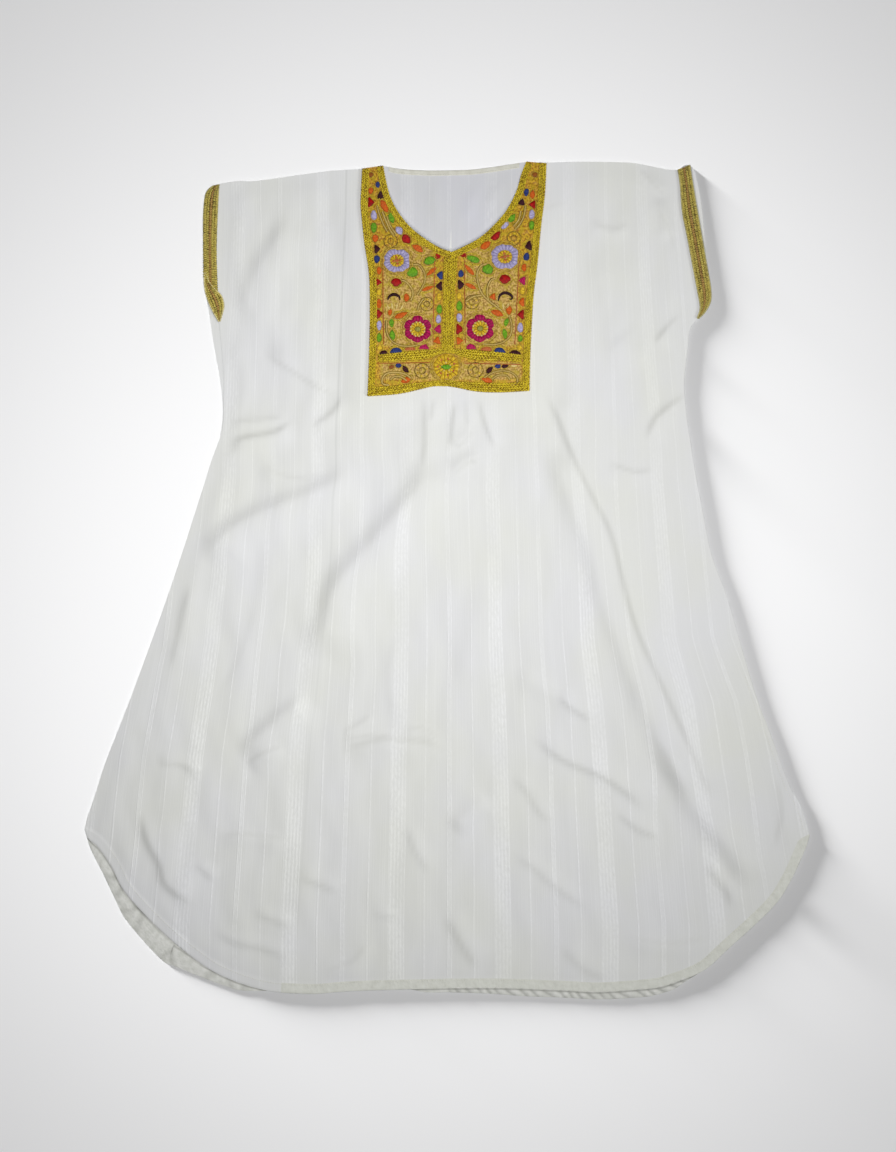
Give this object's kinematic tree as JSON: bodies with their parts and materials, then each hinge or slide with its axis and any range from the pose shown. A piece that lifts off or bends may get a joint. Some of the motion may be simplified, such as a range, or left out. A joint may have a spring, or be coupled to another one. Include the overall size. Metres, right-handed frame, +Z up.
{
  "type": "kaftan laid flat",
  "caption": "Short kaftan laid flat, with an embroidered yoke, braided short sleeves and a rounded hem.",
  "frame": {"origin": "on the surface under the garment, at the middle of its width and of its length", "axes": "+X to the viewer's right, +Y from the hem towards the neck, +Z up out of the surface"},
  "size_m": [0.9421, 1.0881, 0.0156],
  "materials": {
    "white_cloth": "thin white cotton with woven satin stripes",
    "inner_cloth": "thin white cotton with woven satin stripes, wrong side",
    "neck_facing": "matt cream cotton facing",
    "yoke_ground": "beige gold satin under couched cord",
    "gold_couching": "olive gold couched metallic cord",
    "gold_braid": "old gold metallic braid",
    "lilac_thread": "lilac silk satin stitch",
    "magenta_thread": "magenta silk satin stitch"
  },
  "bodies": {
    "root": {"back": "inner_cloth", "back_neck_band": "neck_facing", "front": "white_cloth", "yoke": "yoke_ground", "yoke_border": "gold_couching", "neck_border": "gold_couching", "placket": "gold_couching", "cross_bar": "gold_couching", "rosette": "gold_couching", "flower_lilac_left": "lilac_thread", "flower_lilac_right": "lilac_thread", "flower_magenta_left": "magenta_thread", "flower_magenta_right": "magenta_thread", "sleeve_trim_left": "gold_braid", "sleeve_trim_left_turn": "gold_braid", "sleeve_trim_right": "gold_braid"}
  },
  "joints": []
}
